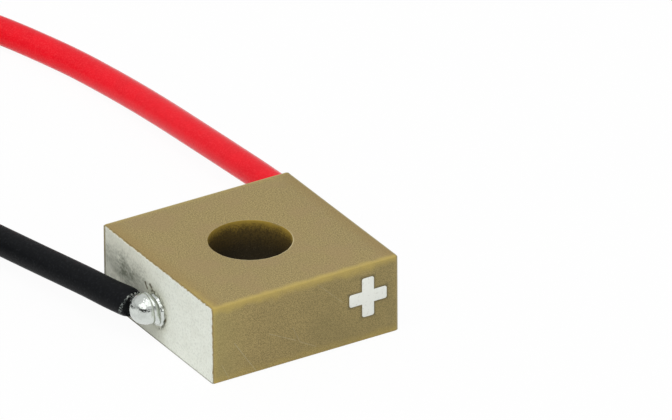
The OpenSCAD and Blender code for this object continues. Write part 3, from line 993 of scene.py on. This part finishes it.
class RINGCHIP_OT_ceramic(bpy.types.Operator):
    """Make the ceramic block with its hole"""

    bl_idname = "ring_chip.ceramic"
    bl_label = "Make Ceramic"

    def execute(self, context):
        sizes = context.scene.chip_sizes
        bm = bmesh.new()
        bmesh.ops.create_circle(bm, cap_ends=False, segments=BORE_SIDES, radius=BORE_R)
        outline = bmesh.ops.create_circle(bm, cap_ends=False, segments=BORE_SIDES, radius=1)["verts"]
        for vert in outline:
            vert.co /= max(abs(vert.co.x) / HALF_X, abs(vert.co.y) / HALF_Y)
        bmesh.ops.bridge_loops(bm, edges=bm.edges[:])
        raised = bmesh.ops.extrude_face_region(bm, geom=bm.faces[:])["geom"]
        bmesh.ops.translate(bm, vec=(0, 0, HEIGHT), verts=of_kind(bmesh.types.BMVert, raised))
        self.round_long_edges(bm, sizes.edge_radius)
        self.break_ends(bm, sizes.end_bevel)
        self.break_rims(bm, sizes.rim_bevel)
        piece = show(
            context, close_mesh(bm, "ceramic_block", CERAMIC_SHARP),
            ceramic_finish(context.scene.chip_colours, sizes), ["ceramic_body"])
        even_normals(piece)
        return {"FINISHED"}

    def round_long_edges(self, bm, radius):
        """Rounds the edges that run from electrode to electrode."""
        for side in (-1, 1):
            for cut in range(EDGE_CUTS):
                across = HALF_Y - radius + radius * math.sin(math.radians(90 * cut / EDGE_CUTS))
                bmesh.ops.bisect_plane(
                    bm, geom=bm.verts[:] + bm.edges[:] + bm.faces[:], dist=CUT_SLACK,
                    plane_co=(0, side * across, 0), plane_no=(0, 1, 0))
        for vert in bm.verts:
            past = abs(vert.co.y) - (HALF_Y - radius)
            if past > 0:
                drop = radius - math.sqrt(max(0.0, radius ** 2 - past ** 2))
                vert.co.z += drop if vert.co.z < HEIGHT / 2 else -drop

    def break_ends(self, bm, width):
        """Takes the sharpness off the edges of the two ends."""
        for side in (-1, 1):
            flat = [
                face for face in bm.faces if all(abs(v.co.x - side * HALF_X) < NEAR for v in face.verts)]
            ends = bmesh.ops.dissolve_faces(bm, faces=flat)["region"]
            bevel(bm, list(ends[0].edges), width, END_STEPS)

    def break_rims(self, bm, width):
        """Breaks the edges of the hole, a little unevenly."""
        for depth in WALL_CUTS:
            wall = [face for face in bm.faces if all(v.co.xy.length < BORE_R + NEAR for v in face.verts)]
            around = {part for face in wall for part in (*face.verts, *face.edges)}
            bmesh.ops.bisect_plane(
                bm, geom=wall + list(around), dist=CUT_SLACK, plane_co=(0, 0, depth), plane_no=(0, 0, 1))
        rims = [
            edge for edge in bm.edges
            if all(abs(v.co.xy.length - BORE_R) < NEAR for v in edge.verts)
            and all(min(v.co.z, HEIGHT - v.co.z) < NEAR for v in edge.verts)]
        bevel(bm, rims, width, RIM_STEPS)
        for vert in bm.verts:
            from_face = min(vert.co.z, HEIGHT - vert.co.z)
            if vert.co.xy.length < BORE_R + 2 * width and from_face < 2 * width:
                chip = noise.noise(vert.co / CHIP_LENGTH) * RIM_CHIPPING
                vert.co.xy *= 1 + chip / BORE_R


SILVER_ACROSS = 160
SILVER_UP = 64
SILVER_RIM = 0.03 * MM
SILVER_RIM_DROP = 0.006 * MM
WAVE_LENGTH = 0.07 * MM
WAVE_BIAS = 0.35
# How far from its corners an edge of the silver starts to wander, and wanders in full
WAVE_FROM = 0.04 * MM
WAVE_FULL = 0.2 * MM


class RINGCHIP_OT_electrodes(bpy.types.Operator):
    """Make the silver electrodes on the two ends"""

    bl_idname = "ring_chip.electrodes"
    bl_label = "Make Electrodes"

    def execute(self, context):
        silver = silver_finish(context.scene.chip_colours)
        for kind, side in (("negative", -1), ("positive", 1)):
            wave = context.scene.chip_sizes.silver_wave if side < 0 else 0.0
            mesh = self.patch(f"{kind}_silver", side, context.scene.chip_sizes.silver_corner, wave)
            piece = show(context, mesh, silver, [f"{kind}_electrode"])
            even_normals(piece)
        return {"FINISHED"}

    def patch(self, name, side, corner, wander):
        """A thin patch of silver with round corners, whose front and top edges wander."""
        half_y = SILVER_HIGH.y
        half_z = (SILVER_HIGH.z - SILVER_LOW.z) / 2
        bm = bmesh.new()
        bmesh.ops.create_grid(bm, x_segments=SILVER_ACROSS, y_segments=SILVER_UP, size=1)
        for vert in bm.verts:
            y, z = round_corner(vert.co.x * half_y, vert.co.y * half_z, half_y, half_z, corner)
            inset = min(half_y - abs(vert.co.x) * half_y, half_z - abs(vert.co.y) * half_z)
            edge = max(0.0, 1 - inset / (2 * SILVER_RIM))
            spot = Vector((side, y / WAVE_LENGTH, z / WAVE_LENGTH))
            wave = wander * edge * (noise.noise(spot) - WAVE_BIAS)
            rim = max(0.0, 1 - inset / SILVER_RIM)
            front = ramp(-y, half_y - 2 * SILVER_RIM, half_y)
            front *= ramp(z, WAVE_FROM - half_z, WAVE_FULL - half_z)
            top = ramp(z, half_z - 2 * SILVER_RIM, half_z) * ramp(half_y - y, WAVE_FROM, WAVE_FULL)
            vert.co = (side * (SILVER_X - SILVER_RIM_DROP * rim * rim), y - wave * front,
                       HEIGHT / 2 + z + wave * top)
        backed = bmesh.ops.extrude_face_region(bm, geom=bm.faces[:])["geom"]
        for vert in of_kind(bmesh.types.BMVert, backed):
            vert.co.x = side * HALF_X
        bmesh.ops.dissolve_faces(bm, faces=of_kind(bmesh.types.BMFace, backed))
        return close_mesh(bm, name, SILVER_SHARP)


def round_corner(y, z, half_y, half_z, radius):
    """Moves a point of a rectangle so that the rectangle's corners become round."""
    over_y = (abs(y) - (half_y - radius)) / radius
    over_z = (abs(z) - (half_z - radius)) / radius
    if over_y <= 0 or over_z <= 0:
        return y, z
    round_y = over_y * math.sqrt(1 - over_z ** 2 / 2)
    round_z = over_z * math.sqrt(1 - over_y ** 2 / 2)
    return (math.copysign(half_y - radius + radius * round_y, y),
            math.copysign(half_z - radius + radius * round_z, z))


MARK_EDGE = 0.006 * MM
MARK_EDGE_STEPS = 2
MARK_CORNER_STEPS = 5


class RINGCHIP_OT_mark(bpy.types.Operator):
    """Make the printed plus sign"""

    bl_idname = "ring_chip.mark"
    bl_label = "Make Plus Sign"

    def execute(self, context):
        sizes = context.scene.chip_sizes
        middle = (MARK_LOW + MARK_HIGH) / 2
        reach = (MARK_HIGH.x - MARK_LOW.x) / 2
        arm = sizes.mark_arm / 2
        bm = bmesh.new()
        bmesh.ops.create_grid(bm, x_segments=3, y_segments=3, size=1)
        for vert in bm.verts:
            along = [math.copysign(reach if abs(part) > 0.5 else arm, part) for part in vert.co.xy]
            vert.co = (middle.x + along[0], MARK_HIGH.y, middle.z + along[1])
        corners = [face for face in bm.faces if min(abs(v - c) for v, c in zip(
            face.calc_center_median().xz, middle.xz)) > arm]
        bmesh.ops.delete(bm, geom=corners, context="FACES")
        turns = [vert for vert in bm.verts if len(vert.link_faces) == 1]
        bevel(bm, turns, sizes.mark_corner, MARK_CORNER_STEPS, "VERTICES")
        raised = bmesh.ops.extrude_face_region(bm, geom=bm.faces[:])["geom"]
        for vert in of_kind(bmesh.types.BMVert, raised):
            vert.co.y = MARK_LOW.y
        bmesh.ops.recalc_face_normals(bm, faces=bm.faces)
        rim = [
            edge for edge in bm.edges
            if all(v.co.y == MARK_LOW.y for v in edge.verts)
            and any(abs(face.normal.y) < 0.5 for face in edge.link_faces)]
        bevel(bm, rim, MARK_EDGE, MARK_EDGE_STEPS)
        piece = show(
            context, close_mesh(bm, "plus_sign", SILVER_SHARP),
            mark_finish(context.scene.chip_colours), ["polarity_mark"])
        even_normals(piece)
        return {"FINISHED"}


# Profile of a solder joint, from the edge of its foot to the groove under its head:
# distance from the axis and height over the silver, in millimetres
FOOT_PROFILE = [
    (0.4, 0.0), (0.4, 0.014), (0.398, 0.03), (0.393, 0.048), (0.385, 0.066), (0.376, 0.081),
    (0.37, 0.091), (0.367, 0.1), (0.371, 0.109), (0.381, 0.122), (0.393, 0.141), (0.401, 0.163),
    (0.403, 0.188), (0.4, 0.213), (0.392, 0.236), (0.38, 0.254), (0.373, 0.264), (0.37, 0.27),
]
NECK_STEP = 0.016 * MM
HEAD_STEPS = 18
SOLDER_SIDES = 96
SOLDER_MERGE = 0.0005 * MM
# Lumps of the solder: how much of the radius they take, and how long they are
LUMP, LUMP_LENGTH = 0.045, 0.45 * MM
FOLD, FOLD_LENGTH = 0.08, 0.25 * MM
CRINKLE, CRINKLE_LENGTH = 0.09, 0.1 * MM
# How far apart the two joints' lumps are drawn, so that they differ
LUMP_APART = 3 * MM
# Heights over the silver between which the sag, the crinkles, the folds and the slant come and go
SAG_FADES = (0.06 * MM, 0.26 * MM)
CRINKLE_FADES = (0.03 * MM, 0.07 * MM)
FOLD_FADES = (0.2 * MM, 0.3 * MM)
SLANT_COMES = (0, 0.2 * MM)
SLANT_FADES = (0.3 * MM, 0.65 * MM)


class RINGCHIP_OT_solder(bpy.types.Operator):
    """Make the two solder joints"""

    bl_idname = "ring_chip.solder"
    bl_label = "Make Solder Joints"

    def execute(self, context):
        solder = solder_finish(context.scene.chip_colours)
        for kind, side in (("negative", -1), ("positive", 1)):
            show(context, self.joint(f"{kind}_joint", side), solder, [f"{kind}_solder"])
        return {"FINISHED"}

    def joint(self, name, side):
        """A round head on a folded foot, turned and then settled on the silver."""
        profile = [(radius * MM, height * MM) for radius, height in FOOT_PROFILE]
        low = math.asin((profile[-1][1] + NECK_STEP - HEAD_OUT) / HEAD_R)
        for step in range(HEAD_STEPS + 1):
            turn = low + (math.pi / 2 - low) * step / HEAD_STEPS
            profile.append((HEAD_R * math.cos(turn), HEAD_OUT + HEAD_R * math.sin(turn)))
        bm = turned(profile, SOLDER_SIDES)
        bmesh.ops.remove_doubles(bm, verts=bm.verts, dist=SOLDER_MERGE)
        base = [edge for edge in bm.edges if len(edge.link_faces) == 1]
        bmesh.ops.edgeloop_fill(bm, edges=base)
        for vert in bm.verts:
            self.settle(vert, side)
        return close_mesh(bm, name)

    def settle(self, vert, side):
        """Puts a point of the turned profile in its place on the silver, lumpy as solder sets."""
        x, y, height = vert.co
        spot = Vector((x, y, height + side * LUMP_APART))
        foot = 1 - ramp(height, *SAG_FADES)
        lump = LUMP * noise.noise(spot / LUMP_LENGTH)
        fold = FOLD * noise.noise(spot / FOLD_LENGTH) * (1 - ramp(height, *FOLD_FADES))
        crinkle = CRINKLE * noise.noise(spot / CRINKLE_LENGTH) * (1 - ramp(height, *CRINKLE_FADES))
        swell = 1 + lump + fold + crinkle
        down = max(0.0, -y / HEAD_R)
        height -= FOLD_SLANT * down * ramp(height, *SLANT_COMES) * (1 - ramp(height, *SLANT_FADES))
        vert.co = (
            side * (SILVER_X + height),
            HEAD_Y + x * swell,
            HEAD_Z - FOOT_SAG * foot + y * swell)


FLOOR_DROP = 0.01 * MM
FLOOR_SIZE = 0.6
AMBIENT = 0.55
FLOOR_GLOW = 0.95
KEY_FROM = Vector((-0.42, -0.3, 0.9))
KEY_POWER = 1.5
KEY_SPREAD = math.radians(50)
# The studio's wall, which only reflections show: its heights as angles over the table
WALL_R = 0.3
WALL_LOW = math.radians(4)
WALL_HIGH = math.radians(78)
WALL_STEPS = 12
WALL_SIDES = 48
DARK_FROM = math.radians(7)
DARK_TO = math.radians(25)
DARK_SOFT = math.radians(3)
WALL_GREY = 0.8
WALL_FOOT_GREY = 0.9
WALL_DARK = 0.02
# The dark strip is darkest in one direction, where the facing is high, and this much is left elsewhere
STRIP_AT = Vector((-0.6, -0.8, 0))
STRIP_FACING = (0.35, 0.85)
STRIP_LEFT = 0.35
# A window and a screen on the wall: direction, outer and inner angle of the soft edge, and brightness
WALL_LIGHTS = [
    (Vector((-0.67, -0.37, 0.64)), math.radians(32), math.radians(26), 1.6),
    (Vector((0.14, -0.34, 0.93)), math.radians(25), math.radians(16), 1.6),
]
TABLE_GREY = 0.9


class RINGCHIP_OT_stage(bpy.types.Operator):
    """Set the pale table, the studio light and the white surroundings"""

    bl_idname = "ring_chip.stage"
    bl_label = "Set Stage"

    def execute(self, context):
        scene = context.scene
        scene.view_settings.view_transform = "Standard"
        scene.world = self.surroundings()
        bm = bmesh.new()
        bmesh.ops.create_grid(bm, x_segments=1, y_segments=1, size=FLOOR_SIZE)
        bmesh.ops.translate(bm, vec=(0, 0, -FLOOR_DROP), verts=bm.verts)
        self.set_out(scene, "table", bm, self.table_finish())
        wall = self.set_out(scene, "studio_wall", self.wall_shape(), self.wall_finish())
        wall.visible_camera = False
        wall.visible_diffuse = False
        wall.visible_shadow = False
        lamp = bpy.data.lights.new("key_light", "SUN")
        lamp.energy = KEY_POWER
        lamp.angle = KEY_SPREAD
        key = bpy.data.objects.new("key_light", lamp)
        key.rotation_euler = KEY_FROM.to_track_quat("Z", "Y").to_euler()
        scene.collection.objects.link(key)
        return {"FINISHED"}

    def set_out(self, scene, name, bm, material):
        """Puts a shape in the scene as part of the stage."""
        mesh = bpy.data.meshes.new(name)
        bm.to_mesh(mesh)
        bm.free()
        mesh.materials.append(material)
        thing = bpy.data.objects.new(name, mesh)
        scene.collection.objects.link(thing)
        return thing

    def wall_shape(self):
        """Part of a sphere round the table, open at the top where the white ceiling shows."""
        lifts = [WALL_LOW + (WALL_HIGH - WALL_LOW) * step / WALL_STEPS for step in range(WALL_STEPS + 1)]
        return turned([(WALL_R * math.cos(lift), WALL_R * math.sin(lift)) for lift in lifts], WALL_SIDES)

    def wall_finish(self):
        """A grey wall with two lights and a dark strip, as bright as it looks in a reflection."""
        finish = Finish("studio_wall", grey(0))
        x, y, z = finish.place()
        height = z / WALL_R
        low, high, soft = (math.sin(angle) for angle in (DARK_FROM, DARK_TO, DARK_SOFT))
        glow = finish.mix(height.rise(low, high), grey(WALL_FOOT_GREY), grey(WALL_GREY))
        for at, outer, inner, bright in WALL_LIGHTS:
            facing = (x * at.x + y * at.y + z * at.z) / WALL_R
            glow = finish.mix(facing.rise(math.cos(outer), math.cos(inner)), glow, grey(bright))
        facing = (x * STRIP_AT.x + y * STRIP_AT.y) / WALL_R
        strip = height.rise(low - soft, low + soft) * height.fall(high - soft, high + soft)
        strip = strip * (STRIP_LEFT + facing.rise(*STRIP_FACING) * (1 - STRIP_LEFT))
        glow = finish.mix(strip, glow, grey(WALL_DARK))
        return finish.coat(Specular_IOR_Level=0.0, Emission_Color=glow, Emission_Strength=1.0)

    def surroundings(self):
        """White wherever it is seen, and a soft grey light on the chip."""
        world = bpy.data.worlds.new("studio")
        light = Shading(world)
        colour = light.mix(light.seen(), grey(AMBIENT), grey(1))
        light.feed(light.tree.nodes["Background"].inputs["Color"], colour)
        return world

    def table_finish(self):
        """A white table that glows a little to the eye, and still takes a shadow."""
        finish = Finish("white_table", grey(TABLE_GREY))
        finish.coat(Roughness=0.9, Specular_IOR_Level=0.0)
        plain = Signal(finish, finish.shader.outputs["BSDF"])
        glow = finish.node("ShaderNodeEmission", {}, {"Color": opaque(grey(1))})
        blend = finish.node("ShaderNodeMixShader", {}, {0: finish.seen() * FLOOR_GLOW, 1: plain, 2: glow})
        finish.feed(finish.tree.nodes["Material Output"].inputs["Surface"], blend)
        return finish.material


class RINGCHIP_PT_panel(bpy.types.Panel):
    """Sidebar panel with the sizes, the colours and the steps in order"""

    bl_idname = "RINGCHIP_PT_panel"
    bl_label = "Ring Chip"
    bl_space_type = "VIEW_3D"
    bl_region_type = "UI"
    bl_category = "Ring Chip"

    def draw(self, context):
        for group in (context.scene.chip_sizes, context.scene.chip_colours):
            column = self.layout.column()
            for name in group.__annotations__:
                column.prop(group, name)
        for step in STEPS:
            self.layout.operator(step.bl_idname)


STEPS = (
    RINGCHIP_OT_camera, RINGCHIP_OT_leads, RINGCHIP_OT_ceramic, RINGCHIP_OT_electrodes, RINGCHIP_OT_mark,
    RINGCHIP_OT_solder, RINGCHIP_OT_stage,
)
CLASSES = (ChipSizes, ChipColours, *STEPS, RINGCHIP_PT_panel)


def register():
    for made in CLASSES:
        bpy.utils.register_class(made)
    bpy.types.Scene.chip_sizes = bpy.props.PointerProperty(type=ChipSizes)
    bpy.types.Scene.chip_colours = bpy.props.PointerProperty(type=ChipColours)


def unregister():
    del bpy.types.Scene.chip_colours
    del bpy.types.Scene.chip_sizes
    for made in reversed(CLASSES):
        bpy.utils.unregister_class(made)


def main():
    register()
    bpy.ops.ring_chip.camera()
    bpy.ops.ring_chip.leads()
    bpy.ops.ring_chip.ceramic()
    bpy.ops.ring_chip.electrodes()
    bpy.ops.ring_chip.mark()
    bpy.ops.ring_chip.solder()
    bpy.ops.ring_chip.stage()


if __name__ == "__main__":
    main()
